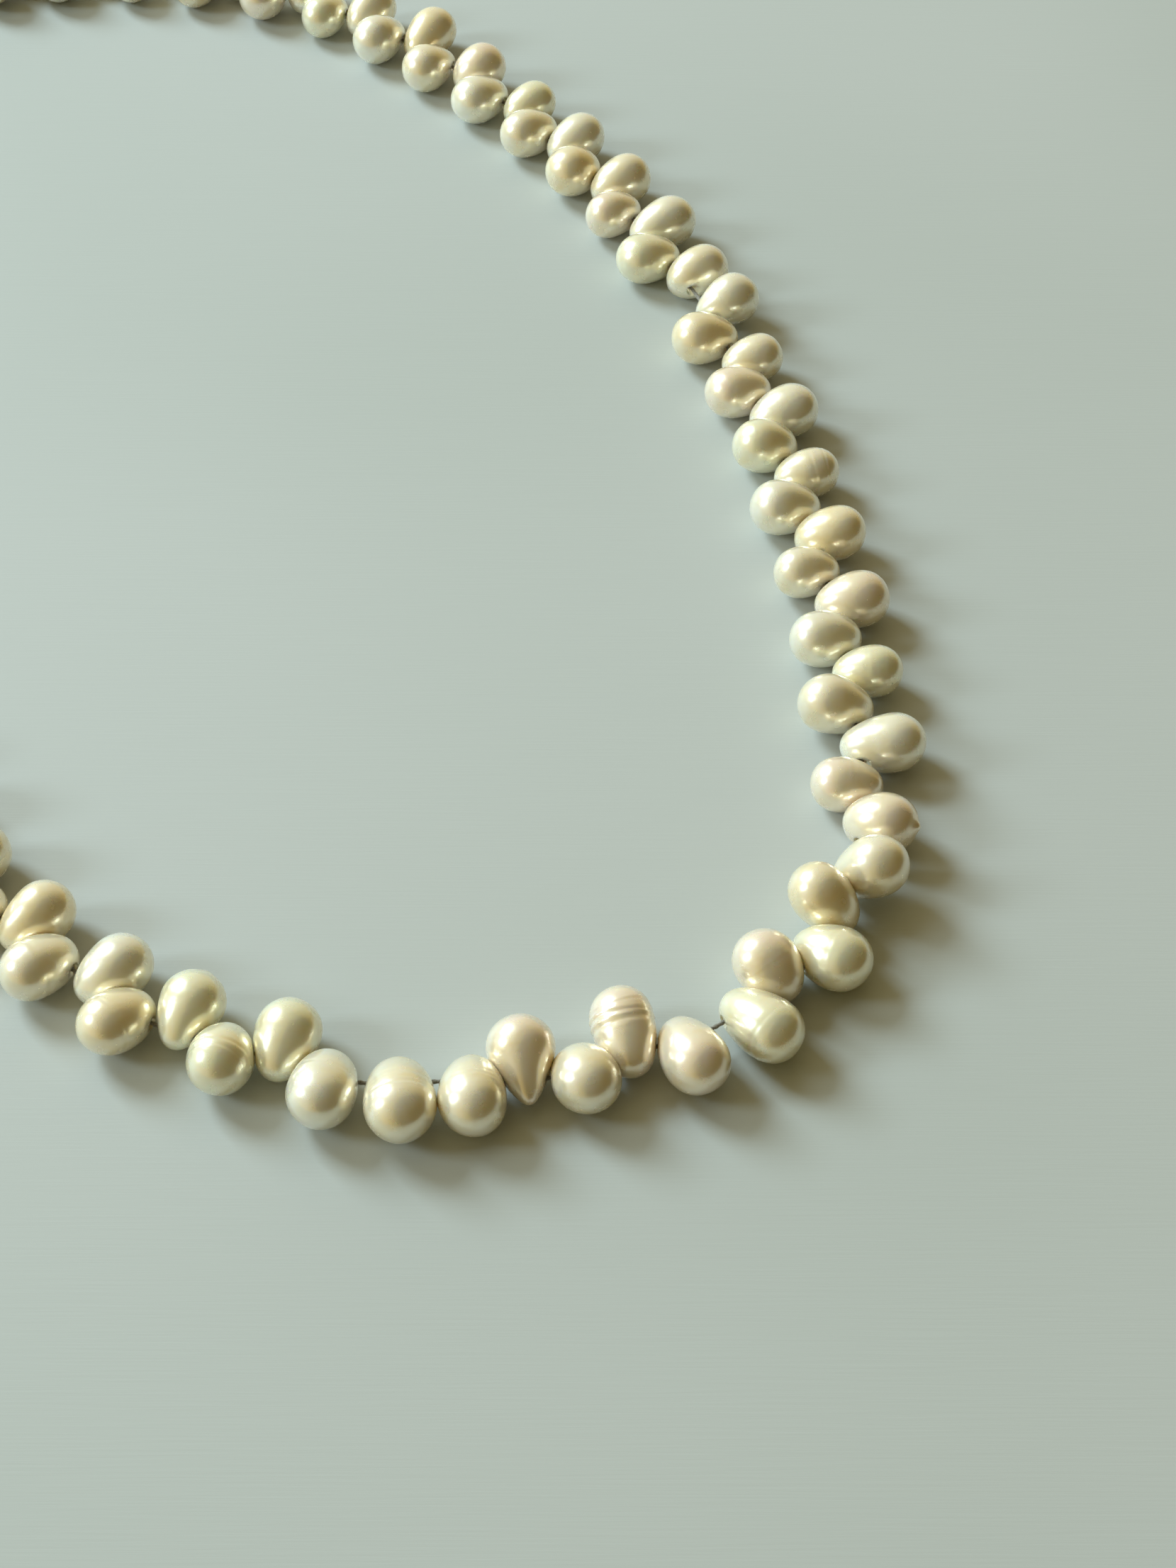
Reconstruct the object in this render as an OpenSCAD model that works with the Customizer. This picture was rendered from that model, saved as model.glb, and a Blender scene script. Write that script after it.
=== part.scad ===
// Pearl necklace: one hundred top-drilled pearls on a single thread, with a lobster claw clasp.
// The strand lies on a table as an open loop, a chain of short straight links that meet at
// vertical hinges. The origin is under the middle of the loop, on the table, with +Z up.

/* [Pearls] */
// Diameter of the drilled thread hole
hole_d = 0.9; // [0.7:0.05:1]
// Facets around a pearl
pearl_facets = 96; // [32:8:128]

/* [Strand] */
// Distance along the thread between neighbours that hang on opposite sides
cross_pitch = 4.1; // [4.1:0.05:5]
// Distance along the thread between neighbours that hang on the same side
same_pitch = 5.4; // [5.3:0.05:6.5]
// Height of the thread above the table
thread_z = 2.1; // [2:0.05:2.3]
// Diameter of the thread
thread_d = 0.4; // [0.2:0.05:0.5]
// Diameter of the knot at each end of the thread
knot_d = 1.3; // [0.9:0.1:1.8]

/* [Knot covers and jump rings] */
// Outer diameter of a knot cover's shell
cover_d = 3.4; // [3.2:0.1:3.6]
// Wall of a knot cover's shell
cover_wall = 0.4; // [0.3:0.05:0.5]
// Radius of a knot cover's loop, at the middle of its strip
loop_r = 0.95; // [0.9:0.05:1]
// Width of the strip that the loop is made of
loop_w = 0.5; // [0.4:0.05:0.5]
// Thickness of that strip
loop_t = 0.4; // [0.3:0.05:0.5]
// Radius of a jump ring, at the middle of its wire
ring_r = 1.5; // [1.45:0.05:1.6]
// Diameter of a jump ring's wire
ring_wire_d = 0.6; // [0.5:0.05:0.6]

/* [Claw and end ring] */
// Thickness of the claw's body
claw_t = 2; // [1.8:0.1:2.4]
// Thickness of the eyes that the jump rings pass through
eye_t = 0.9; // [0.7:0.1:0.9]
// Radius of the hole in an eye
eye_hole_r = 0.75; // [0.7:0.05:0.8]
// Width of the slot that the lever turns in
slot_w = 1.1; // [1:0.05:1.2]
// Radius of the pin that the lever turns on
pin_r = 0.3; // [0.25:0.01:0.35]
// Radius of the hole in the end ring
end_hole_r = 1.5; // [1.3:0.1:1.6]
// Thickness of the end ring
end_ring_t = 0.8; // [0.6:0.1:1]

/* [Hidden] */
// Pearls and heading in degrees of each link, from the claw's end to the ring's end.
LINKS = [
    [4, -74], [4, -67], [4, -60], [4, -53], [4, -46], [4, -37],
    [4, -18], [3, 2], [3, 20], [2, 40], [2, 58], [2, 77], [4, 92],
    [4, 98], [4, 103], [4, 109], [4, 117], [4, 124], [4, 131], [4, 143],
    [4, 160], [4, 177], [4, 194], [4, 210], [4, 226], [4, 242], [4, 257]
];
// Side that each pearl hangs on: i is inside the loop and o is outside it.
SIDES = str(
    "ioioioioioioioioioioioioioiooo",
    "ioiooioioo",
    "ioioioioioioioioo",
    "ioioioioioioioioioioioioioioioioioioioioioi"
);
// Shape of each pearl: egg, oval, drop, long, near-round or small.
KINDS = str(
    "eosendeolsneodesloeneoeodneooednlelneoen",
    "slesoesoesneosedoelseneosendleoseneodslenoeseds",
    "onleseondelso"
);
// How far each pearl is lifted about the thread, in steps of lift_step.
LIFTS = str(
    "0102001300120100210001021002",
    "001201030891003100120020010",
    "210010200103001200100210003001200100010021000"
);
KIND_NAMES = "eodlns";
// Radius of the big end, radius of the drilled end and the distance between their centres.
KIND_SIZES = [
    [2.5, 1.65, 2.65], [2.4, 1.8, 2.5], [2.5, 1.1, 3.05],
    [2.55, 1.7, 3.2], [2.5, 1.8, 2.05], [2.3, 1.6, 2.3]
];
lift_step = 4;
// Links whose pearls each turn on their own thread, counted from 0.
FREE_LINKS = [6 : 12];
strand_start = [-41, 10.6];
// From the last pearl's hole to the end of the strand.
end_gap = 2.3;
// Gap that the thread leaves on each side of a hinge.
hinge_gap = 0.3;
thread_sides = 8;

pearls = len(SIDES);
last_link = len(LINKS) - 1;

function number(n) = n < 10 ? str("0", n) : str(n);
function pitch(i) = SIDES[i] == SIDES[i + 1] ? same_pitch : cross_pitch;
function total(list, count, i = 0) = i >= count ? 0 : list[i][0] + total(list, count, i + 1);
function direction(angle) = [cos(angle), sin(angle)];

// Distance along the thread from the claw's end to each pearl's hole.
ALONG = [for (i = 0, s = end_gap; i < pearls; s = s + pitch(i), i = i + 1) s];
// First pearl of each link, and one past the last pearl.
FIRST = [for (k = [0 : len(LINKS)]) total(LINKS, k)];
// Distance along the thread to each hinge, and to the strand's two ends.
CUTS = [
    for (k = [0 : len(LINKS)])
        k == 0 ? 0
        : k > last_link ? ALONG[pearls - 1] + end_gap
        : (ALONG[FIRST[k] - 1] + ALONG[FIRST[k]]) / 2
];
function link_step(k) = k > last_link ? [0, 0] : (CUTS[k + 1] - CUTS[k]) * direction(LINKS[k][1]);
// Place of each hinge on the table, and of the strand's two ends.
HINGES = [
    for (k = 0, p = strand_start; k <= len(LINKS); p = p + link_step(k), k = k + 1) p
];

// Findings, measured from the strand's end along +X.
cover_x = 1.8;
loop_x = cover_x + cover_d / 2 + 0.85;
ring_x = loop_x + ring_r + 0.25;
eye_x = ring_x + ring_r + 0.25;

function group_name(k) =
    str("pearls_", number(FIRST[k] + 1), "_", number(FIRST[k + 1]));
function pearl_name(i) = str("pearl_", i + 1);
function thread_name(k) = str("thread_", number(k + 1));
function is_free(k) = len([for (f = FREE_LINKS) if (f == k) f]) > 0;

GROUP_LINKS = [for (k = [0 : last_link]) if (!is_free(k)) k];
FREE_PEARLS = [for (k = FREE_LINKS) for (i = [FIRST[k] : FIRST[k + 1] - 1]) [i, k]];

// Placing along the strand.

module on_link(k) {
    translate([HINGES[k].x, HINGES[k].y, thread_z]) rotate(LINKS[k][1]) children();
}

module at_claw_end() {
    translate([HINGES[0].x, HINGES[0].y, thread_z]) rotate(LINKS[0][1] + 180) children();
}

module at_ring_end() {
    end = HINGES[len(LINKS)];
    translate([end.x, end.y, thread_z]) rotate(LINKS[last_link][1]) children();
}

// A pearl, long along +Y from the middle of its hole, which runs along X.

module pearl_profile(big_r, small_r, centres) {
    slope = asin((big_r - small_r) / centres);
    edge = [cos(slope), -sin(slope)];
    intersection() {
        union() {
            circle(r = small_r, $fn = pearl_facets);
            translate([0, centres]) circle(r = big_r, $fn = pearl_facets);
            polygon([[0, 0], small_r * edge, [0, centres] + big_r * edge, [0, centres]]);
        }
        translate([0, -small_r - 1]) square([big_r + 1, centres + big_r + small_r + 2]);
    }
}

module pearl_shape(size) {
    difference() {
        rotate([-90, 0, 0])
            rotate_extrude($fn = pearl_facets)
                pearl_profile(size[0], size[1], size[2]);
        rotate([0, 90, 0]) cylinder(d = hole_d, h = 4 * size[1], center = true, $fn = 32);
    }
}

// The big end rests on the table, then the pearl's own lift is added.
module pearl(i, k) {
    size = KIND_SIZES[search(KINDS[i], KIND_NAMES)[0]];
    rise = asin((size[0] - thread_z) / size[2]) + lift_step * (ord(LIFTS[i]) - ord("0"));
    outside = SIDES[i] == "o";
    on_link(k)
        translate([ALONG[i] - CUTS[k], 0, 0])
            mirror([0, outside ? 1 : 0, 0])
                rotate([rise, 0, 0])
                    pearl_shape(size);
}

module pearl_group(k) {
    color("ivory")
        for (i = [FIRST[k] : FIRST[k + 1] - 1]) pearl(i, k);
}

module single_pearl(i, k) {
    color("linen") pearl(i, k);
}

// Thread. Its ends stop a little short of the hinges of the free links.

module thread_link(k) {
    color("dimgray")
        on_link(k)
            translate([hinge_gap, 0, 0])
                rotate([0, 90, 0])
                    cylinder(d = thread_d, h = CUTS[k + 1] - CUTS[k] - 2 * hinge_gap, $fn = 24);
}

function heading(points, k) =
    let (
        before = points[max(k - 1, 0)],
        after = points[min(k + 1, len(points) - 1)]
    ) atan2(after.y - before.y, after.x - before.x);

// A round tube through level points. Each point is x, y and the tube's radius there.
module tube(points) {
    rings = len(points);
    corners = [
        for (k = [0 : rings - 1])
            for (j = [0 : thread_sides - 1])
                let (
                    side = heading(points, k) + 90,
                    turn = 360 * j / thread_sides,
                    reach = points[k][2] * cos(turn)
                ) [
                    points[k].x + reach * cos(side),
                    points[k].y + reach * sin(side),
                    thread_z + points[k][2] * sin(turn)
                ]
    ];
    walls = [
        for (k = [0 : rings - 2])
            for (j = [0 : thread_sides - 1])
                let (next = (j + 1) % thread_sides, a = k * thread_sides, b = a + thread_sides)
                    [a + j, b + j, b + next, a + next]
    ];
    start_cap = [for (j = [0 : thread_sides - 1]) j];
    end_cap = [for (j = [thread_sides - 1 : -1 : 0]) (rings - 1) * thread_sides + j];
    polyhedron(corners, concat([start_cap], walls, [end_cap]), convexity = 10);
}

// A knot about a point, as distances along the thread and radii.
KNOT = [[-0.75, 0.15], [-0.45, 0.5], [0, knot_d / 2], [0.45, 0.5], [0.7, thread_d / 2]];

function along_thread(from, angle, distance, radius) =
    let (p = from + distance * direction(angle)) [p.x, p.y, radius];

module thread_claw_side() {
    first_free = FREE_LINKS[0];
    start = LINKS[0][1];
    stop = LINKS[first_free - 1][1];
    color("dimgray")
        tube(concat(
            [for (b = KNOT) along_thread(HINGES[0], start, b[0] - cover_x, b[1])],
            [for (k = [1 : first_free - 1]) [HINGES[k].x, HINGES[k].y, thread_d / 2]],
            [along_thread(HINGES[first_free], stop, -hinge_gap, thread_d / 2)]
        ));
}

module thread_ring_side() {
    first = FREE_LINKS[2] + 1;
    end = LINKS[last_link][1];
    color("dimgray")
        tube(concat(
            [along_thread(HINGES[first], LINKS[first][1], hinge_gap, thread_d / 2)],
            [for (k = [first + 1 : last_link]) [HINGES[k].x, HINGES[k].y, thread_d / 2]],
            [
                for (j = [len(KNOT) - 1 : -1 : 0])
                    along_thread(HINGES[len(LINKS)], end, cover_x - KNOT[j][0], KNOT[j][1])
            ]
        ));
}

// Findings.

module upright(t) {
    translate([0, 0, -t / 2]) linear_extrude(t) children();
}

// A cup closed round the knot, with a hole for the thread on its -X side.
module cover_shell() {
    thread_hole_r = 0.35;
    rotate([0, 90, 0])
        rotate_extrude($fn = 64)
            difference() {
                circle(d = cover_d, $fn = 64);
                circle(d = cover_d - 2 * cover_wall, $fn = 64);
                translate([-cover_d, -cover_d]) square([cover_d, 2 * cover_d]);
                translate([-cover_d, -cover_d]) square([cover_d + thread_hole_r, cover_d]);
            }
}

module knot_cover() {
    color("silver") {
        translate([cover_x, 0, 0]) cover_shell();
        translate([loop_x, 0, 0]) upright(loop_t)
            difference() {
                circle(r = loop_r + loop_w / 2, $fn = 48);
                circle(r = loop_r - loop_w / 2, $fn = 48);
            }
    }
}

// The ring stands upright, and its cut is at the top.
module jump_ring() {
    cut_w = 0.1;
    color("silver")
        translate([ring_x, 0, 0]) difference() {
            rotate([90, 0, 0])
                rotate_extrude($fn = 64)
                    translate([ring_r, 0]) circle(d = ring_wire_d, $fn = 24);
            translate([0, 0, ring_r]) cube([cut_w, 2 * ring_wire_d, 2 * ring_wire_d], center = true);
        }
}

// The claw is drawn with its eye at the origin. It opens on the +Y side.
eye_r = 1.35;
pivot = [2.7, 0.8];
hook_x = [4.3, 6];
hook_r = 2.15;
mouth_x = [4.6, 5.9];
mouth_r = 1.25;
nose_x = 6.1;
slot_x = [1.9, 4.1];
slot_floor = -0.3;

module stadium(x, r) {
    translate([x[0], 0]) circle(r = r, $fn = 64);
    translate([x[1], 0]) circle(r = r, $fn = 64);
    translate([x[0], -r]) square([x[1] - x[0], 2 * r]);
}

module claw_body() {
    neck_x = 1.6;
    mouth_y = 0.1;
    color("silver")
        at_claw_end() translate([eye_x, 0, 0]) difference() {
            union() {
                upright(eye_t) {
                    circle(r = eye_r, $fn = 64);
                    translate([0, -1]) square([neck_x + 0.5, 2]);
                }
                upright(claw_t) {
                    stadium(hook_x, hook_r);
                    polygon([
                        [neck_x, -1.15], [hook_x[0], -2.05], [hook_x[0], 2.05], [neck_x, 1.15]
                    ]);
                }
            }
            upright(2 * claw_t) {
                circle(r = eye_hole_r, $fn = 48);
                translate([0, mouth_y]) stadium(mouth_x, mouth_r);
                translate([mouth_x[0], mouth_y]) square([nose_x - mouth_x[0], 3]);
                translate([mouth_x[0] - mouth_r, mouth_y]) square([mouth_r + 1, 3]);
            }
            upright(slot_w)
                translate([slot_x[0], slot_floor])
                    square([slot_x[1] - slot_x[0], 4]);
            translate(pivot) cylinder(r = pin_r, h = 2 * claw_t, center = true, $fn = 32);
        }
}

module claw_lever() {
    lever_t = slot_w - 0.2;
    running_gap = 0.04;
    color("silver")
        at_claw_end() translate([eye_x, 0, 0]) difference() {
            upright(lever_t) {
                translate(pivot) circle(r = 0.7, $fn = 48);
                polygon([[2.9, 0.15], [5.95, 1.1], [5.95, 1.9], [4.5, 2.1], [2.5, 1.45]]);
                polygon([[2.05, 0.95], [3, 1.4], [2.6, 3], [1.9, 3]]);
                translate([2.25, 3]) circle(r = 0.35, $fn = 32);
            }
            translate(pivot)
                cylinder(r = pin_r + running_gap, h = 2 * claw_t, center = true, $fn = 32);
        }
}

module claw_pin() {
    color("gainsboro")
        at_claw_end()
            translate([eye_x + pivot.x, pivot.y, 0])
                cylinder(r = pin_r, h = claw_t, center = true, $fn = 32);
}

// A bent leaf between the slot's floor and the lever, which it presses shut.
module claw_spring() {
    leaf_w = 0.7;
    color("gray")
        at_claw_end() translate([eye_x, 0, 0]) upright(leaf_w)
            polygon([
                [1.95, -0.28], [3.1, -0.28], [3.55, 0.1],
                [3.45, 0.18], [3.05, -0.14], [1.95, -0.14]
            ]);
}

module end_ring() {
    rim_r = 2.3;
    rim_x = 3.1;
    color("silver")
        at_ring_end() translate([eye_x, 0, 0]) difference() {
            upright(end_ring_t) {
                circle(r = eye_r, $fn = 64);
                translate([rim_x, 0]) circle(r = rim_r, $fn = 96);
                polygon([[0.4, -1.25], [2, -2], [2, 2], [0.4, 1.25]]);
            }
            upright(2 * end_ring_t) {
                circle(r = eye_hole_r, $fn = 48);
                translate([rim_x, 0]) circle(r = end_hole_r, $fn = 64);
            }
        }
}

for (k = GROUP_LINKS)
    pearl_group(k);
for (p = FREE_PEARLS)
    single_pearl(p[0], p[1]);
for (k = FREE_LINKS)
    thread_link(k);
thread_claw_side();
thread_ring_side();
at_claw_end() knot_cover();  // knot_cover_claw_side
at_claw_end() jump_ring();  // jump_ring_claw_side
claw_body();
claw_lever();
claw_pin();
claw_spring();
at_ring_end() knot_cover();  // knot_cover_ring_side
at_ring_end() jump_ring();  // jump_ring_ring_side
end_ring();
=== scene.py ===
"""Pearl necklace: the looks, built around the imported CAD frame.

The strand's layout is repeated from part.scad. Every pearl is its own piece, drawn about its
drilled hole and placed on its link; the thread bends between links; the findings keep their
CAD shapes.
"""
import math
import random

import bpy
import numpy as np
from mathutils import Matrix, Vector, noise


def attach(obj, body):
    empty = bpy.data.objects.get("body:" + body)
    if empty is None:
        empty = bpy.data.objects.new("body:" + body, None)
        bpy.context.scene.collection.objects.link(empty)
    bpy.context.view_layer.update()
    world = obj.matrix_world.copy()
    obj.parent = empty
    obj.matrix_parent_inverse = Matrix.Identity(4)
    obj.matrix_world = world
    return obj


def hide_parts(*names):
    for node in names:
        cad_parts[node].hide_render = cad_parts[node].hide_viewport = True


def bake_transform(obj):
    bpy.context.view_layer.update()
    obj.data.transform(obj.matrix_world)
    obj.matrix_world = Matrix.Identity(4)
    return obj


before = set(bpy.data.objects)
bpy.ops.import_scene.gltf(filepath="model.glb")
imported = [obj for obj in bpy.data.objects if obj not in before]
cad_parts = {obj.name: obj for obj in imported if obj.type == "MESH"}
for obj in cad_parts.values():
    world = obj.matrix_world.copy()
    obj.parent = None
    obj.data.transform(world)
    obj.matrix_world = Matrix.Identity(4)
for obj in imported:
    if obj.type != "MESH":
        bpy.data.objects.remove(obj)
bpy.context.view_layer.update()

MM = 0.001

# ---------------------------------------------------------------- the strand's layout, in mm

# Pearls and heading in degrees of each link, from the claw's end to the ring's end.
LINKS = (
    (4, -74), (4, -67), (4, -60), (4, -53), (4, -46), (4, -37),
    (4, -18), (3, 2), (3, 20), (2, 40), (2, 58), (2, 77), (4, 92),
    (4, 98), (4, 103), (4, 109), (4, 117), (4, 124), (4, 131), (4, 143),
    (4, 160), (4, 177), (4, 194), (4, 210), (4, 226), (4, 242), (4, 257),
)
# i hangs inside the loop and o outside it.
SIDES = (
    "ioioioioioioioioioioioioioiooo"
    "ioiooioioo"
    "ioioioioioioioioo"
    "ioioioioioioioioioioioioioioioioioioioioioi"
)
# egg, oval, drop, long, near-round or small.
KINDS = (
    "eosendeolsneodesloeneoeodneooednlelneoen"
    "slesoesoesneosedoelseneosendleoseneodslenoeseds"
    "onleseondelso"
)
# How far each pearl is lifted about the thread, in steps of LIFT_STEP degrees.
LIFTS = (
    "0102001300120100210001021002"
    "001201030891003100120020010"
    "210010200103001200100210003001200100010021000"
)
# Radius of the big end, radius of the drilled end and the distance between their centres.
KIND_SIZES = {
    "e": (2.5, 1.65, 2.65),
    "o": (2.4, 1.8, 2.5),
    "d": (2.5, 1.1, 3.05),
    "l": (2.55, 1.7, 3.2),
    "n": (2.5, 1.8, 2.05),
    "s": (2.3, 1.6, 2.3),
}
CROSS_PITCH = 4.1  # between holes of pearls on opposite sides
SAME_PITCH = 5.4  # between holes of pearls on the same side
THREAD_Z = 2.1
STRAND_START = (-41.0, 10.6)
END_GAP = 2.3  # from the first and last holes to the strand's ends
LIFT_STEP = 4
FREE_LINKS = range(6, 13)  # links whose pearls each turn about the thread

PEARLS = len(SIDES)


def direction(angle):
    """The level unit vector at that heading in degrees."""
    return Vector((math.cos(math.radians(angle)), math.sin(math.radians(angle)), 0))


def hole_distances():
    """Distance along the thread from the claw's end to each pearl's hole."""
    along = [END_GAP]
    for one, other in zip(SIDES, SIDES[1:]):
        along.append(along[-1] + (SAME_PITCH if one == other else CROSS_PITCH))
    return along


ALONG = hole_distances()
FIRST = [sum(n for n, _ in LINKS[:k]) for k in range(len(LINKS) + 1)]
CUTS = (
    [0.0]
    + [(ALONG[f - 1] + ALONG[f]) / 2 for f in FIRST[1:-1]]
    + [ALONG[-1] + END_GAP]
)


def hinge_places():
    """Place of each hinge between links, and of the strand's two ends."""
    places = [Vector((*STRAND_START, THREAD_Z))]
    for k, (_, angle) in enumerate(LINKS):
        places.append(places[-1] + direction(angle) * (CUTS[k + 1] - CUTS[k]))
    return places


HINGES = hinge_places()


def number(n):
    return f"{n:02d}"


def link_body(k):
    return f"link_{number(k + 1)}"


def link_of(i):
    """The link that pearl i, counted from 0, hangs on."""
    return max(k for k in range(len(LINKS)) if FIRST[k] <= i)


REST_STEPS = 12  # tries at turning a pearl until it rests on the table
REST_GAP = 0.02  # the most that stays between a resting pearl and the table


def pearl_rise(i, points):
    """How far pearl i stands up from level, in radians: lifted, or turned to rest on the table."""
    size = KIND_SIZES[KINDS[i]]
    rise = math.asin((size[0] - THREAD_Z) / size[2]) + math.radians(LIFT_STEP * int(LIFTS[i]))
    far = points[points[:, 1] > size[2] / 2]
    for _ in range(REST_STEPS):
        low = (far[:, 1] * math.sin(rise) + far[:, 2] * math.cos(rise)).min() + THREAD_Z
        if low >= 0 and (low < REST_GAP or int(LIFTS[i])):
            break
        rise += (REST_GAP / 2 - low) / size[2]
    return rise


def pearl_place(i, rise):
    """Where pearl i lies: its own X is along the thread, and its own Y is along the pearl."""
    k = link_of(i)
    heading = math.radians(LINKS[k][1] + (180 if SIDES[i] == "o" else 0))
    hole = HINGES[k] + direction(LINKS[k][1]) * (ALONG[i] - CUTS[k])
    turn = Matrix.Rotation(heading, 3, "Z") @ Matrix.Rotation(rise, 3, "X")
    return np.array(turn), np.array(hole)


# ---------------------------------------------------------------- node helpers


class Nodes:
    """A material's or world's node tree, with short ways to add and join nodes."""

    def __init__(self, owner):
        owner.use_nodes = True
        self.tree = owner.node_tree
        self.tree.nodes.clear()

    def join(self, out, into):
        self.tree.links.new(out, into)

    def multiply_add(self, value, factor, term):
        made = self.tree.nodes.new("ShaderNodeMath")
        made.operation = "MULTIPLY_ADD"
        self.join(value, made.inputs[0])
        made.inputs[1].default_value = factor
        made.inputs[2].default_value = term
        return made.outputs[0]

    def ramp(self, value, stops):
        """A colour ramp through (position, colour) stops."""
        made = self.tree.nodes.new("ShaderNodeValToRGB")
        made.color_ramp.interpolation = "EASE"
        while len(made.color_ramp.elements) < len(stops):
            made.color_ramp.elements.new(0.5)
        for element, (place, colour) in zip(made.color_ramp.elements, stops):
            element.position = place
            element.color = (*colour, 1)
        self.join(value, made.inputs[0])
        return made.outputs[0]

    def grey_ramp(self, value, *stops):
        """A ramp through (position, level) stops."""
        return self.ramp(value, [(place, (level,) * 3) for place, level in stops])

    def noise(self, where, scale, detail=2, distortion=0.0):
        made = self.tree.nodes.new("ShaderNodeTexNoise")
        made.inputs["Scale"].default_value = scale
        made.inputs["Detail"].default_value = detail
        made.inputs["Distortion"].default_value = distortion
        self.join(where, made.inputs["Vector"])
        return made.outputs["Fac"]

    def bump(self, height, distance, strength=1.0, before=None):
        made = self.tree.nodes.new("ShaderNodeBump")
        made.inputs["Distance"].default_value = distance
        made.inputs["Strength"].default_value = strength
        self.join(height, made.inputs["Height"])
        if before is not None:
            self.join(before, made.inputs["Normal"])
        return made.outputs[0]

    def object_mm(self, scale=(1, 1, 1)):
        """A piece's own coordinates in millimetres, stretched by scale."""
        where = self.tree.nodes.new("ShaderNodeTexCoord")
        made = self.tree.nodes.new("ShaderNodeMapping")
        made.inputs["Scale"].default_value = [s / MM for s in scale]
        self.join(where.outputs["Object"], made.inputs["Vector"])
        return made.outputs[0]

    def surface(self, **values):
        """The Principled shader and the output, with constants set on its sockets."""
        shader = self.tree.nodes.new("ShaderNodeBsdfPrincipled")
        for key, value in values.items():
            shader.inputs[key.replace("_", " ")].default_value = value
        out = self.tree.nodes.new("ShaderNodeOutputMaterial")
        self.join(shader.outputs[0], out.inputs["Surface"])
        return shader


# ---------------------------------------------------------------- materials


def nacre(name, body, warm, overtone):
    """Mother of pearl: cloudy body colour, faint growth lines, a soft metallic lustre and gloss."""
    made = bpy.data.materials.new(name)
    n = Nodes(made)
    where = n.object_mm()
    clouds = n.noise(where, 0.4, distortion=0.4)
    colour = n.ramp(clouds, [(0.32, warm), (0.5, body), (0.68, overtone)])
    shader = n.surface(
        Metallic=0.46,
        IOR=1.6,
        Coat_Weight=0.9,
        Coat_Roughness=0.14,
        Coat_IOR=1.6,
        Subsurface_Weight=0.45,
        Subsurface_Radius=(1.0, 0.8, 0.45),
        Subsurface_Scale=0.0016,
    )
    n.join(colour, shader.inputs["Base Color"])
    patches = n.noise(where, 0.9)
    rough = n.grey_ramp(patches, (0.3, 0.22), (0.7, 0.28))
    n.join(rough, shader.inputs["Roughness"])
    lines = n.noise(n.object_mm((0.2, 3.2, 0.2)), 1.0)
    swell = n.noise(where, 1.0, detail=1)
    height = n.bump(lines, 0.02 * MM, 0.3)
    height = n.bump(swell, 0.06 * MM, 0.3, height)
    n.join(height, shader.inputs["Normal"])
    return made


NACRES = {
    "cream": nacre("nacre_cream", (0.95, 0.87, 0.69), (0.95, 0.83, 0.58), (0.93, 0.87, 0.74)),
    "ivory": nacre("nacre_ivory", (0.95, 0.90, 0.76), (0.94, 0.87, 0.68), (0.92, 0.90, 0.80)),
    "rose": nacre("nacre_rose", (0.97, 0.86, 0.70), (0.96, 0.82, 0.61), (0.97, 0.83, 0.72)),
    "green": nacre("nacre_green", (0.93, 0.88, 0.68), (0.94, 0.84, 0.58), (0.90, 0.90, 0.71)),
    "gold": nacre("nacre_gold", (0.97, 0.85, 0.62), (0.96, 0.80, 0.52), (0.95, 0.86, 0.68)),
}


def silver(name, colour, roughness, scratch):
    """Silver with a smudged tint and fine scratches along X, whose depth is scratch in mm."""
    made = bpy.data.materials.new(name)
    n = Nodes(made)
    where = n.object_mm()
    shader = n.surface(Metallic=1.0)
    smudge = n.noise(where, 0.8, detail=3)
    tint = n.ramp(smudge, [(0.35, [c * 0.86 for c in colour]), (0.6, colour)])
    n.join(tint, shader.inputs["Base Color"])
    fine = n.noise(n.object_mm((1, 9, 9)), 1.3, detail=4)
    gloss = n.grey_ramp(fine, (0.3, roughness), (0.75, roughness * 2.2))
    n.join(gloss, shader.inputs["Roughness"])
    n.join(n.bump(fine, scratch * MM, 0.5), shader.inputs["Normal"])
    return made


def thread_material():
    made = bpy.data.materials.new("thread_fibre")
    n = Nodes(made)
    where = n.object_mm()
    shader = n.surface(Sheen_Weight=0.4, Sheen_Roughness=0.5)
    fibres = n.noise(where, 14.0, detail=3)
    tint = n.ramp(fibres, [(0.3, (0.12, 0.11, 0.09)), (0.7, (0.30, 0.28, 0.24))])
    n.join(tint, shader.inputs["Base Color"])
    rough = n.grey_ramp(fibres, (0.2, 0.55), (0.8, 0.8))
    n.join(rough, shader.inputs["Roughness"])
    n.join(n.bump(fibres, 0.03 * MM), shader.inputs["Normal"])
    return made


SILVER = silver("silver_polished", (0.86, 0.85, 0.82), 0.12, 0.01)
SILVER_WIRE = silver("silver_wire", (0.78, 0.77, 0.75), 0.2, 0.015)
THREAD = thread_material()


# ---------------------------------------------------------------- pearls

HOLE_R = 0.42
HOLE_DEPTH = 1.2
HOLE_FLOOR = 0.8 * HOLE_R  # radius within which the mouth of a hole is fully sunk
HOLE_EDGE = 0.45 * HOLE_R  # width of the slope round it

# Each kind's real shape: radius of the big end, radius of the drilled end, the distance between
# their centres, and how fully the two join.
SHAPES = {
    "e": (2.5, 1.6, 2.55, 0.35),
    "o": (2.38, 1.75, 2.4, 0.4),
    "d": (2.5, 1.1, 2.95, 0.3),
    "l": (2.48, 1.65, 3.05, 0.35),
    "n": (2.5, 1.7, 2.0, 0.4),
    "s": (2.25, 1.5, 2.3, 0.35),
}
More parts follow.
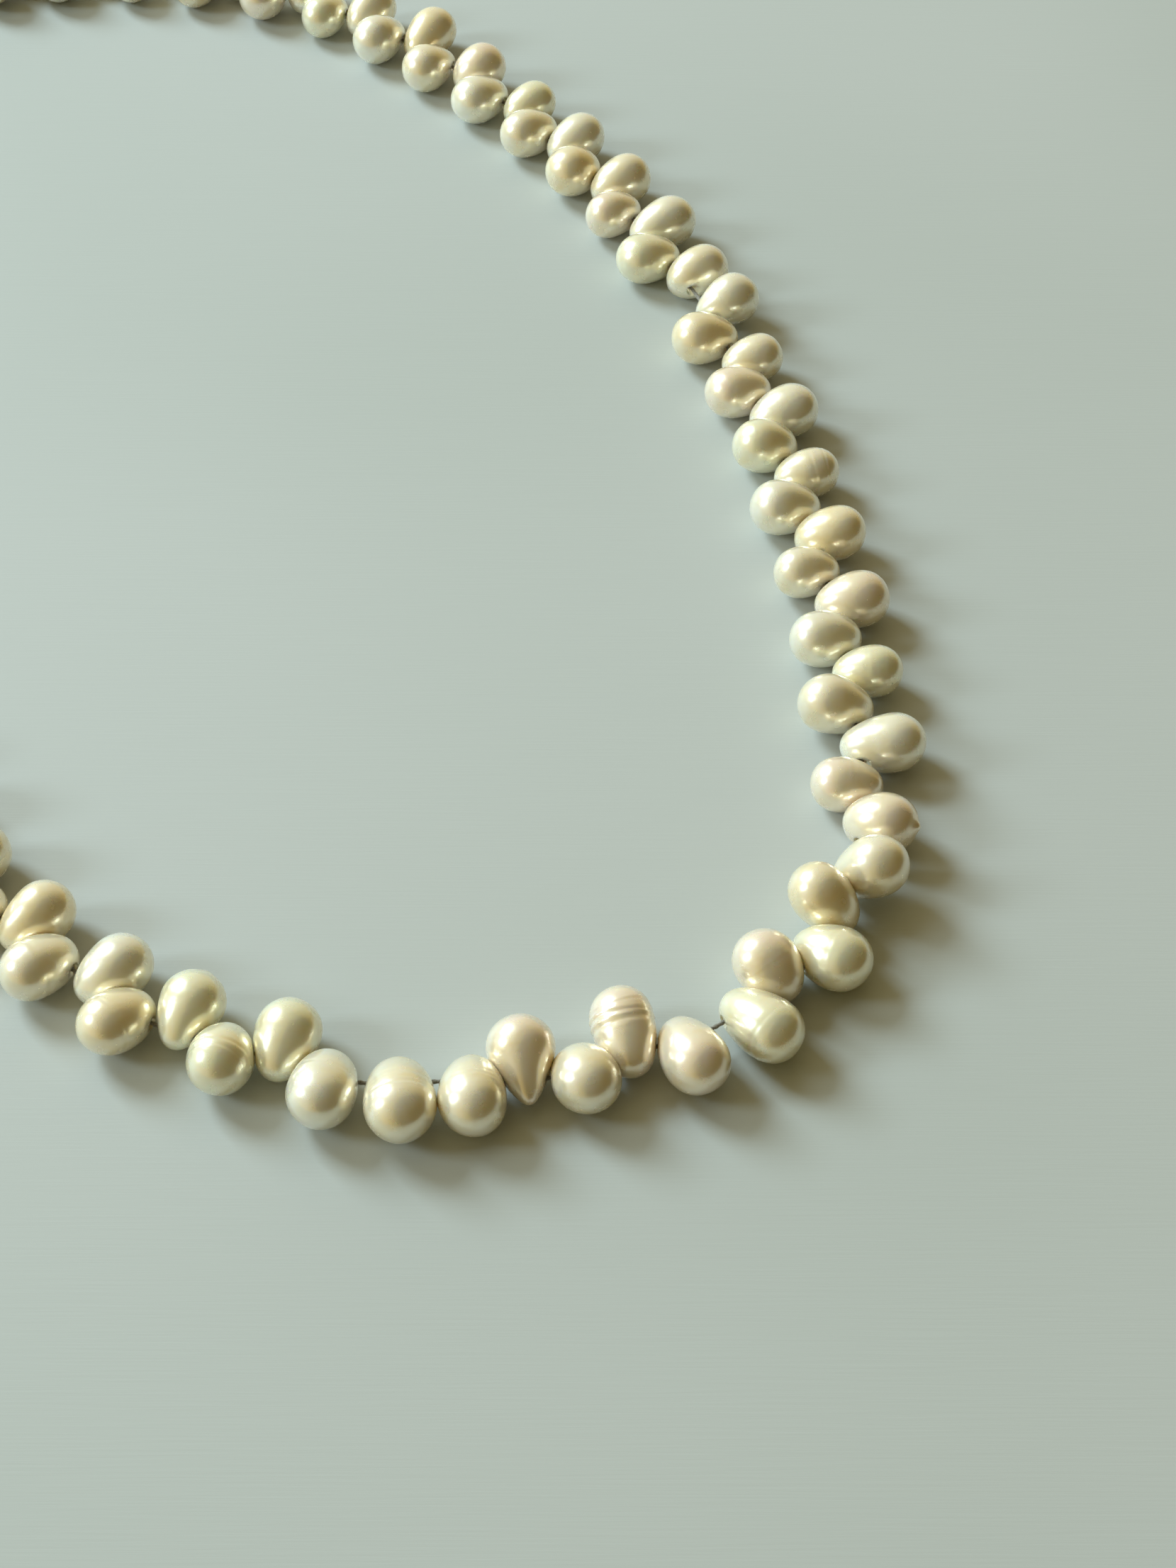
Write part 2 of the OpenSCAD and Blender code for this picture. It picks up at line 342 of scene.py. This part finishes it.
# Pearls with a shape of their own.
OWN_SHAPES = {
    25: (2.5, 1.15, 2.95, 0.3),
    28: (2.5, 1.9, 2.4, 0.4),
    29: (2.6, 2.0, 2.8, 0.4),
    30: (2.5, 1.9, 2.4, 0.4),
    31: (2.65, 0.7, 3.8, 0.25),
    32: (2.5, 1.9, 1.5, 0.4),
    33: (2.45, 1.8, 3.1, 0.35),
    34: (2.5, 1.7, 2.8, 0.35),
    35: (2.5, 1.65, 3.2, 0.35),
}
# How far past its hole a pearl's drilled end reaches, beyond its own radius, by pearl number.
REACHES = {31: 1.3, 25: 0.3}
# Degrees by which a pearl's length leans from square to its hole, by pearl number.
LEANS = {
    21: -12, 22: -14, 23: -16, 24: -8, 25: -4, 26: 6, 27: 2, 28: 7, 29: 4, 30: 3, 31: 8,
    32: 7, 33: -7, 34: 4, 35: 5, 36: 0, 37: 0, 38: 0, 39: 0, 40: 0, 41: 0, 42: 0,
}

# Sunk growth rings of the nearest pearls: distance from the hole, depth and width in mm.
RINGS = {
    25: (),
    26: ((2.0, 0.03, 0.14), (2.6, 0.03, 0.12)),
    28: ((1.1, 0.03, 0.12),),
    29: ((1.5, 0.05, 0.12), (1.8, 0.04, 0.1), (2.1, 0.04, 0.1), (2.6, 0.03, 0.12)),
    30: ((1.3, 0.03, 0.12), (1.7, 0.03, 0.12)),
    32: (),
    33: ((2.15, 0.1, 0.2), (2.8, 0.09, 0.17), (1.2, 0.02, 0.15), (3.5, 0.02, 0.15)),
    35: ((3.4, 0.03, 0.2),),
    36: ((1.2, 0.02, 0.15),),
    37: ((2.2, 0.012, 0.2),),
}
RING_MIN_R = 0.8  # a pearl has no growth rings where its radius is smaller
# Little nipples at a pearl's far end: height, width and sideways offset in mm.
TIPS = {25: (0.15, 0.6, 0.0), 40: (0.3, 0.5, 0.5)}
# Tint of the nearest pearls, by pearl number; the others take turns.
TINTS = {
    21: "gold", 22: "cream", 23: "ivory", 24: "gold", 25: "green", 26: "green", 27: "green",
    28: "ivory", 29: "cream", 30: "cream", 31: "rose", 32: "cream", 33: "rose", 34: "rose",
    35: "green", 36: "rose", 37: "green", 38: "gold", 39: "cream", 40: "rose", 41: "rose",
    42: "ivory", 43: "cream", 44: "green",
}
OTHER_TINTS = ("cream", "green", "ivory", "rose", "cream", "gold", "ivory")
# How uneven a pearl is, as shares of its size: squashed, and with broad and narrow lumps.
SQUASH = 0.03
BULGE = 0.03
DIMPLE = 0.0012
MOST_LEAN = 6  # degrees, for a pearl with no lean of its own
# Rows and columns of each pearl's grid: near the camera, at middle distance and far off.
GRIDS = ((range(26, 37), (120, 108)), (range(18, 51), (84, 72)), (range(PEARLS), (48, 44)))


def outline(shape, rows):
    """Distance from the hole and radius along a pearl, from its drilled end to its far end.

    It is the smooth hull of two balls: each one's reach in every direction, softly joined.
    """
    big_r, small_r, centres, full = shape
    turn = np.linspace(math.pi, 0, rows)
    far = big_r + centres * np.cos(turn)
    reach = full * np.logaddexp(far / full, small_r / full)
    pull = 1 / (1 + np.exp((small_r - far) / full))
    slope = -centres * np.sin(turn) * pull
    along = reach * np.cos(turn) - slope * np.sin(turn)
    radius = reach * np.sin(turn) + slope * np.cos(turn)
    return along, np.clip(radius, 0, None)


def groove(along, turn, rings, rng):
    """How much the growth rings take off the radius, at every point of a pearl's grid.

    Each ring wanders along the pearl, is deeper on one side, and has a faint ridge beside it.
    """
    cut = np.zeros((len(along), len(turn)))
    for place, depth, width in rings:
        phase = rng.uniform(0, 2 * math.pi)
        wander = 0.12 * np.sin(turn + phase) + 0.05 * np.sin(3 * turn + 2 * phase)
        fade = 0.65 + 0.35 * np.cos(turn - phase)
        away = (along[:, None] - place - wander[None, :]) / width
        cut += depth * fade[None, :] * (np.exp(-away**2) - 0.45 * np.exp(-((away - 1.5) ** 2)))
    return cut


def drill(points):
    """Sinks the two mouths of the hole, which runs along X, into the grid's points."""
    off = np.hypot(points[:, 1], points[:, 2])
    into = 1 - np.clip((off - HOLE_FLOOR) / HOLE_EDGE, 0, 1)
    into = into * into * (3 - 2 * into)
    depth = np.minimum(np.abs(points[:, 0]), HOLE_DEPTH) * into
    points[:, 0] -= np.sign(points[:, 0]) * depth


def turned_about_z(angle):
    c, s = math.cos(angle), math.sin(angle)
    return np.array([[c, -s, 0], [s, c, 0], [0, 0, 1]])


def pearl_points(i, rows, cols):
    """Pearl i's points in mm, undrilled: one at each end, and rings of cols points between.

    Its outline and its lean come with them.
    """
    rng = random.Random(1000 + i)
    along, radius = outline(OWN_SHAPES.get(i + 1, SHAPES[KINDS[i]]), rows)
    along = along - REACHES.get(i + 1, 0)
    turn = np.arange(cols) * 2 * math.pi / cols
    rings = RINGS.get(i + 1)
    if rings is None:
        rings = [
            (rng.uniform(0.6, 3.4), rng.uniform(0.01, 0.035), rng.uniform(0.1, 0.2))
            for _ in range(rng.choice((0, 0, 1, 1, 2)))
        ]
    ringed = radius[:, None] > RING_MIN_R
    reach = radius[:, None] - groove(along, turn, rings, rng) * ringed
    squash = rng.uniform(-SQUASH, SQUASH)
    x = reach * np.cos(turn) * (1 + squash)
    z = reach * np.sin(turn) * (1 - squash)
    y = np.repeat(along[:, None], cols, axis=1)
    points = np.stack([x, y, z], axis=-1)
    inner = points[1:-1].reshape(-1, 3)
    points = np.concatenate([points[:1, 0], inner, points[-1:, 0]])
    shift = Vector((rng.uniform(0, 50), rng.uniform(0, 50), rng.uniform(0, 50)))
    middle = np.array([0, (along[0] + along[-1]) / 2, 0])
    lumps = np.array([
        BULGE * noise.noise(Vector(p) * 0.3 + shift) + DIMPLE * noise.noise(Vector(p) + shift)
        for p in points
    ])
    points = middle + (points - middle) * (1 + lumps[:, None])
    if i + 1 in TIPS:
        height, width, aside = TIPS[i + 1]
        off = np.hypot(points[:, 0] - aside, points[:, 2])
        far = points[:, 1] > middle[1]
        points[:, 1] += height * np.exp(-((off / width) ** 2)) * far
    lean = math.radians(LEANS.get(i + 1, rng.uniform(-MOST_LEAN, MOST_LEAN)))
    points = points @ turned_about_z(lean).T
    return points, along, radius, lean


CONTACT_GAP = 0.04  # between two neighbours that touch
GIVE = 0.53  # each neighbour's share of the way to give, a little over half


def make_room(pearls):
    """Where two neighbours would share space, each gives way by half, and none is in the table."""
    moves = []
    for i, (points, _, _, _, turn, hole) in enumerate(pearls):
        placed = points @ turn.T + hole
        move = np.zeros_like(placed)
        for k in (i - 2, i - 1, i + 1, i + 2):
            if not 0 <= k < PEARLS:
                continue
            _, along, radius, lean, other_turn, other_hole = pearls[k]
            own = other_turn @ turned_about_z(lean)
            inside = (placed - other_hole) @ own
            off = np.hypot(inside[:, 0], inside[:, 2])
            reach = np.interp(inside[:, 1], along, radius, left=0, right=0)
            deep = np.clip(reach + CONTACT_GAP - off, 0, None) * (reach > 0)
            outward = inside * [1, 0, 1] / np.maximum(off, 0.1)[:, None]
            move += (outward * deep[:, None] * GIVE) @ own.T
        placed += move
        placed[:, 2] = np.maximum(placed[:, 2], 0)
        moves.append((placed - hole) @ turn)
    return moves


def grid_faces(rings, cols):
    """Faces over a point, rings of cols points, and a last point."""
    faces = [(0, 1 + j, 1 + (j + 1) % cols) for j in range(cols)]
    for r in range(rings - 1):
        a = 1 + r * cols
        faces += [
            (a + j, a + cols + j, a + cols + (j + 1) % cols, a + (j + 1) % cols)
            for j in range(cols)
        ]
    a = 1 + (rings - 1) * cols
    faces += [(a + j, a + cols, a + (j + 1) % cols) for j in range(cols)]
    return faces


def make_piece(name, points, faces, material, place=None):
    """A smooth mesh object from points in mm."""
    mesh = bpy.data.meshes.new(name)
    mesh.from_pydata([tuple(p) for p in np.asarray(points) * MM], [], faces)
    mesh.materials.append(material)
    mesh.shade_smooth()
    mesh.update()
    made = bpy.data.objects.new(name, mesh)
    bpy.context.scene.collection.objects.link(made)
    if place is not None:
        made.matrix_world = place
    return made


def add_pearls():
    groups = {}
    for k in range(len(LINKS)):
        if k not in FREE_LINKS:
            groups[k] = f"pearls_{number(FIRST[k] + 1)}_{number(FIRST[k + 1])}"
    sizes = [next(size for near, size in GRIDS if i in near) for i in range(PEARLS)]
    pearls = []
    for i, (rows, cols) in enumerate(sizes):
        points, along, radius, lean = pearl_points(i, rows, cols)
        turn, hole = pearl_place(i, pearl_rise(i, points))
        pearls.append((points, along, radius, lean, turn, hole))
    for i, points in enumerate(make_room(pearls)):
        k = link_of(i)
        rows, cols = sizes[i]
        tint = TINTS.get(i + 1, OTHER_TINTS[i % len(OTHER_TINTS)])
        turn, hole = pearls[i][4:]
        drill(points)
        place = Matrix.Translation(hole * MM) @ Matrix(turn).to_4x4()
        made = make_piece(
            f"nacre_pearl_{i + 1}", points, grid_faces(rows - 2, cols), NACRES[tint], place
        )
        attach(made, f"pearl_{i + 1}" if k in FREE_LINKS else link_body(k))
        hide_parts(groups.get(k, f"pearl_{i + 1}"))


# ---------------------------------------------------------------- thread

THREAD_R = 0.19
PLY_DEPTH = 0.16  # how far the groove between the plies goes in, as a share of the radius
PLY_TURN = 1.1  # mm of thread for one turn of its two plies
THREAD_STEP = 0.16
BEND_REACH = 1.0  # from a hinge to where the thread is straight again
BEND_STEPS = 12
COVER_X = 1.8  # from the strand's end to the middle of a knot cover
KNOT_R = 0.66
KNOT_STEPS = 60
KNOT_TURN = 2 * math.pi * 0.88  # a full turn would join the knot's two ends
TAIL = 0.6
TAIL_STEPS = 4


def two_ply_tube(path, sides=12):
    """A twisted two-ply thread along points in mm, with closed ends."""
    path = [Vector(p) for p in path]
    points, run = [], 0.0
    up = Vector((0, 0, 1))
    for k, p in enumerate(path):
        ahead = (path[min(k + 1, len(path) - 1)] - path[max(k - 1, 0)]).normalized()
        side = up.cross(ahead).normalized()
        rise = ahead.cross(side)
        run += (p - path[max(k - 1, 0)]).length
        for j in range(sides):
            a = 2 * math.pi * j / sides
            ply = math.cos(2 * (a - 2 * math.pi * run / PLY_TURN))
            r = THREAD_R * (1 - PLY_DEPTH + PLY_DEPTH * ply)
            points.append(p + side * r * math.cos(a) + rise * r * math.sin(a))
    faces = []
    for k in range(len(path) - 1):
        a = k * sides
        faces += [
            (a + j, a + (j + 1) % sides, a + sides + (j + 1) % sides, a + sides + j)
            for j in range(sides)
        ]
    faces.append(tuple(reversed(range(sides))))
    faces.append(tuple(range((len(path) - 1) * sides, len(path) * sides)))
    return points, faces


def bend_path(before, corner, after):
    """Points from before to after, rounding the corner."""
    into, out = (corner - before).normalized(), (after - corner).normalized()
    a, b = corner - into * BEND_REACH, corner + out * BEND_REACH
    path = []
    length = (a - before).length
    for n in range(int(length / THREAD_STEP)):
        path.append(before + into * n * THREAD_STEP)
    for n in range(BEND_STEPS + 1):
        t = n / BEND_STEPS
        path.append(a * (1 - t) ** 2 + corner * 2 * t * (1 - t) + b * t * t)
    length = (after - b).length
    count = int(length / THREAD_STEP)
    for n in range(1, count + 1):
        path.append(b + out * length * n / count)
    return path


def add_thread():
    middles = [(HINGES[k] + HINGES[k + 1]) / 2 for k in range(len(LINKS))]
    hidden = ["thread_claw_side", "thread_ring_side"]
    hidden += [f"thread_{number(k + 1)}" for k in FREE_LINKS]
    for k in range(1, len(LINKS)):
        points, faces = two_ply_tube(bend_path(middles[k - 1], HINGES[k], middles[k]))
        made = make_piece(f"thread_bend_{number(k)}", points, faces, THREAD)
        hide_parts(*hidden)
        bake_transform(made)


def knot_path(middle, ahead):
    """A tight overhand knot about middle, entered against ahead, and its short loose end."""
    aside = Vector((0, 0, 1)).cross(ahead)
    path = []
    for n in range(KNOT_STEPS):
        t = KNOT_TURN * n / (KNOT_STEPS - 1)
        wide = KNOT_R / 3 * (2 + math.cos(3 * t))
        rise = KNOT_R / 3 * math.sin(3 * t)
        path.append(
            middle
            - ahead * wide * math.cos(2 * t)
            + aside * wide * math.sin(2 * t)
            + Vector((0, 0, rise))
        )
    onward = (path[-1] - path[-2]).normalized() * TAIL / TAIL_STEPS
    return path + [path[-1] + onward * n for n in range(1, TAIL_STEPS + 1)]


def add_thread_end(name, inner, outer, body, node):
    """The thread from inside the strand out to its knot, which sits inside a knot cover."""
    ahead = (outer - inner).normalized()
    middle = outer + ahead * COVER_X
    length = (middle - inner).length - KNOT_R
    count = int(length / THREAD_STEP)
    path = [inner + ahead * length * n / count for n in range(count)]
    points, faces = two_ply_tube(path + knot_path(middle, ahead))
    made = make_piece(name, points, faces, THREAD)
    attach(made, body)
    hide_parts(node)


def add_thread_ends():
    first_middle = (HINGES[0] + HINGES[1]) / 2
    last_middle = (HINGES[-2] + HINGES[-1]) / 2
    last = len(LINKS) - 1
    add_thread_end(
        "thread_end_claw_side", first_middle, HINGES[0], link_body(0), "thread_claw_side"
    )
    add_thread_end(
        "thread_end_ring_side", last_middle, HINGES[-1], link_body(last), "thread_ring_side"
    )


add_pearls()
add_thread()
add_thread_ends()

# ---------------------------------------------------------------- findings

FINDINGS = {
    "knot_cover_claw_side": SILVER,
    "jump_ring_claw_side": SILVER_WIRE,
    "claw_body": SILVER,
    "claw_lever": SILVER,
    "claw_pin": SILVER_WIRE,
    "claw_spring": SILVER_WIRE,
    "knot_cover_ring_side": SILVER,
    "jump_ring_ring_side": SILVER_WIRE,
    "end_ring": SILVER,
}
CREASE = math.radians(35)  # edges that turn more than this stay sharp


def finish_findings():
    for name, material in FINDINGS.items():
        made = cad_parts[name]
        made.data.materials.clear()
        made.data.materials.append(material)
        for polygon in made.data.polygons:
            polygon.use_smooth = True
        made.data.set_sharp_from_angle(angle=CREASE)


finish_findings()

# ---------------------------------------------------------------- floor, lights and camera

FLOOR_HALF = 1500  # mm, from the middle to an edge


def floor_material():
    """A pale smooth cloth with faint straight threads."""
    made = bpy.data.materials.new("floor_cloth")
    n = Nodes(made)
    where = n.object_mm()
    shader = n.surface(Specular_IOR_Level=0.25)
    patches = n.noise(where, 0.012, detail=1)
    tint = n.ramp(patches, [(0.3, (0.485, 0.52, 0.51)), (0.7, (0.515, 0.545, 0.54))])
    n.join(tint, shader.inputs["Base Color"])
    rough = n.grey_ramp(patches, (0.2, 0.5), (0.8, 0.6))
    n.join(rough, shader.inputs["Roughness"])
    threads = n.object_mm((0.12, 4.5, 1))
    threads.node.inputs["Rotation"].default_value = (0, 0, math.radians(9))
    lines = n.noise(threads, 1.0)
    n.join(n.bump(lines, 0.02 * MM, 0.5), shader.inputs["Normal"])
    return made


def add_floor():
    far = FLOOR_HALF
    corners = [(-far, -far, 0), (far, -far, 0), (far, far, 0), (-far, far, 0)]
    made = make_piece("floor", corners, [(0, 1, 2, 3)], floor_material())


def add_area(name, place, aim, size, power, colour):
    data = bpy.data.lights.new(name, "AREA")
    data.shape = "RECTANGLE"
    data.size, data.size_y = size
    data.energy = power
    data.color = colour
    made = bpy.data.objects.new(name, data)
    bpy.context.scene.collection.objects.link(made)
    made.location = place
    made.rotation_euler = (Vector(aim) - Vector(place)).to_track_quat("-Z", "Y").to_euler()


DARK_SIDE = Vector((0.72, -0.5, 0.42)).normalized()
WORLD_STRENGTH = 0.98


def add_world():
    """A room that is dim and warm to the right and in front, and pale to the left."""
    world = bpy.data.worlds.new("room")
    bpy.context.scene.world = world
    n = Nodes(world)
    where = n.tree.nodes.new("ShaderNodeTexCoord")
    dot = n.tree.nodes.new("ShaderNodeVectorMath")
    dot.operation = "DOT_PRODUCT"
    n.join(where.outputs["Generated"], dot.inputs[0])
    dot.inputs[1].default_value = DARK_SIDE
    share = n.multiply_add(dot.outputs["Value"], 0.5, 0.5)
    colour = n.ramp(
        share,
        [
            (0.15, (0.76, 0.75, 0.56)),
            (0.5, (0.66, 0.57, 0.34)),
            (0.68, (0.42, 0.33, 0.12)),
            (0.82, (0.09, 0.06, 0.012)),
        ],
    )
    back = n.tree.nodes.new("ShaderNodeBackground")
    back.inputs["Strength"].default_value = WORLD_STRENGTH
    n.join(colour, back.inputs["Color"])
    out = n.tree.nodes.new("ShaderNodeOutputWorld")
    n.join(back.outputs[0], out.inputs["Surface"])


FOCAL_SHARE = 1.537  # focal length as a share of the frame's height
CAMERA = Vector((45.6, -171.8, 155)) * MM
PITCH = 50.5  # degrees below level


def add_camera():
    data = bpy.data.cameras.new("camera")
    data.sensor_fit = "VERTICAL"
    data.sensor_height = 24
    data.lens = FOCAL_SHARE * data.sensor_height
    data.clip_start = 0.01
    data.clip_end = 10
    made = bpy.data.objects.new("camera", data)
    bpy.context.scene.collection.objects.link(made)
    made.location = CAMERA
    made.rotation_euler = (math.radians(90 - PITCH), 0, 0)
    bpy.context.scene.camera = made


bpy.context.scene.view_settings.view_transform = "Standard"
add_floor()
add_world()
aim = Vector((0.05, -0.02, 0))
add_area("window", (-0.62, 0.5, 0.62), aim, (0.38, 0.46), 10.6, (0.74, 0.92, 1.0))
add_area("window_low", (-0.85, -0.12, 0.5), aim, (0.24, 0.3), 3.6, (0.74, 0.92, 1.0))
add_camera()
